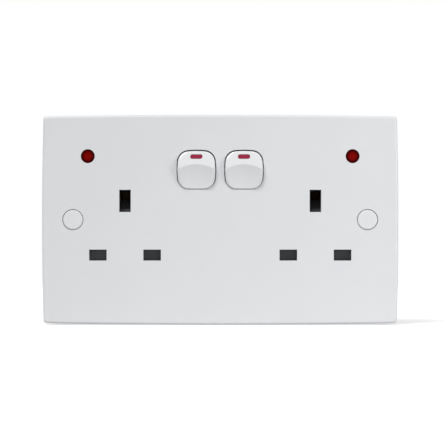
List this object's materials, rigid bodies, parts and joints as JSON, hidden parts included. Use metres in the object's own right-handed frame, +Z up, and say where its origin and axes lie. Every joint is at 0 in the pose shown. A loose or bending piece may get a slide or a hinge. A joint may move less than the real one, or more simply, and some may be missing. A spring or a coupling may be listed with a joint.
{
  "type": "twin wall socket",
  "caption": "Flush twin wall socket outlet with a switch, a neon and a shuttered set of pin openings for each outlet, on one moulded plate",
  "frame": {"origin": "on the wall plane, midway between the two fixing screws", "axes": "+X to the right as seen from the front, +Y from the front into the wall, +Z up"},
  "size_m": [0.146, 0.0295, 0.086],
  "materials": {
    "white_moulding": "urea moulding, satin gloss",
    "housing_moulding": "moulded, matte",
    "rocker_white": "gloss",
    "cap_white": "gloss",
    "flash_red": "gloss",
    "neon_red": "polished, translucent",
    "lamp_glass": "clear glass",
    "resistor_body": "coated ceramic",
    "plunger_nylon": "nylon",
    "shutter_grey": "moulded, matte",
    "brass": "rolled strip",
    "plated_steel": "zinc plated",
    "spring_steel": "drawn wire"
  },
  "bodies": {
    "socket": {"front_plate": "white_moulding", "rear_housing": "housing_moulding", "live_bar": "brass", "neutral_bar": "brass", "earth_bar": "brass", "live_terminal": "brass", "earth_terminal": "brass", "neutral_terminal": "brass", "terminal_screws": "plated_steel", "housing_screws": "plated_steel", "fixing_screws": "plated_steel", "left_live_strip": "brass", "left_earth_contact": "brass", "left_shutter_spring": "spring_steel", "left_screw_cap": "cap_white", "left_neon_lens": "neon_red", "left_neon_lamp": "lamp_glass", "left_neon_resistor": "resistor_body", "right_live_strip": "brass", "right_earth_contact": "brass", "right_shutter_spring": "spring_steel", "right_screw_cap": "cap_white", "right_neon_lens": "neon_red", "right_neon_lamp": "lamp_glass", "right_neon_resistor": "resistor_body"},
    "left_switch_rocker": {"left_rocker": "rocker_white", "left_rocker_flash": "flash_red", "left_plunger_spring": "spring_steel"},
    "left_switch_plunger": {"left_plunger": "plunger_nylon"},
    "left_switch_contact": {"left_moving_contact": "brass"},
    "left_outlet_shutter": {"left_shutter": "shutter_grey"},
    "right_switch_rocker": {"right_rocker": "rocker_white", "right_rocker_flash": "flash_red", "right_plunger_spring": "spring_steel"},
    "right_switch_plunger": {"right_plunger": "plunger_nylon"},
    "right_switch_contact": {"right_moving_contact": "brass"},
    "right_outlet_shutter": {"right_shutter": "shutter_grey"}
  },
  "joints": [
    {"name": "left_rocker_tilt", "type": "hinge", "parent": "socket", "child": "left_switch_rocker", "pos_m": [-0.00975, -0.007, 0.0205], "axis": [1, 0, 0], "range_deg": [-14, 0]},
    {"name": "left_plunger_slide", "type": "slide", "parent": "left_switch_rocker", "child": "left_switch_plunger", "axis": [0, 0.9925, 0.1219], "range_m": [-0.0012, 0], "stiffness_N_per_m": 300, "springref_m": 0.001, "deforming": ["left_plunger_spring"]},
    {"name": "left_contact_tilt", "type": "hinge", "parent": "socket", "child": "left_switch_contact", "pos_m": [-0.00975, 0.007, 0.0205], "axis": [1, 0, 0], "range_deg": [0, 20]},
    {"name": "left_shutter_slide", "type": "slide", "parent": "socket", "child": "left_outlet_shutter", "axis": [0, 0, -1], "range_m": [0, 0.0052], "stiffness_N_per_m": 60, "springref_m": -0.003, "deforming": ["left_shutter_spring"]},
    {"name": "right_rocker_tilt", "type": "hinge", "parent": "socket", "child": "right_switch_rocker", "pos_m": [0.00975, -0.007, 0.0205], "axis": [1, 0, 0], "range_deg": [-14, 0]},
    {"name": "right_plunger_slide", "type": "slide", "parent": "right_switch_rocker", "child": "right_switch_plunger", "axis": [0, 0.9925, 0.1219], "range_m": [-0.0012, 0], "stiffness_N_per_m": 300, "springref_m": 0.001, "deforming": ["right_plunger_spring"]},
    {"name": "right_contact_tilt", "type": "hinge", "parent": "socket", "child": "right_switch_contact", "pos_m": [0.00975, 0.007, 0.0205], "axis": [1, 0, 0], "range_deg": [0, 20]},
    {"name": "right_shutter_slide", "type": "slide", "parent": "socket", "child": "right_outlet_shutter", "axis": [0, 0, -1], "range_m": [0, 0.0052], "stiffness_N_per_m": 60, "springref_m": -0.003, "deforming": ["right_shutter_spring"]}
  ],
  "couplings": [
    {"joint": "left_contact_tilt", "follows": "left_rocker_tilt", "ratio": -1.428},
    {"joint": "right_contact_tilt", "follows": "right_rocker_tilt", "ratio": -1.428}
  ]
}
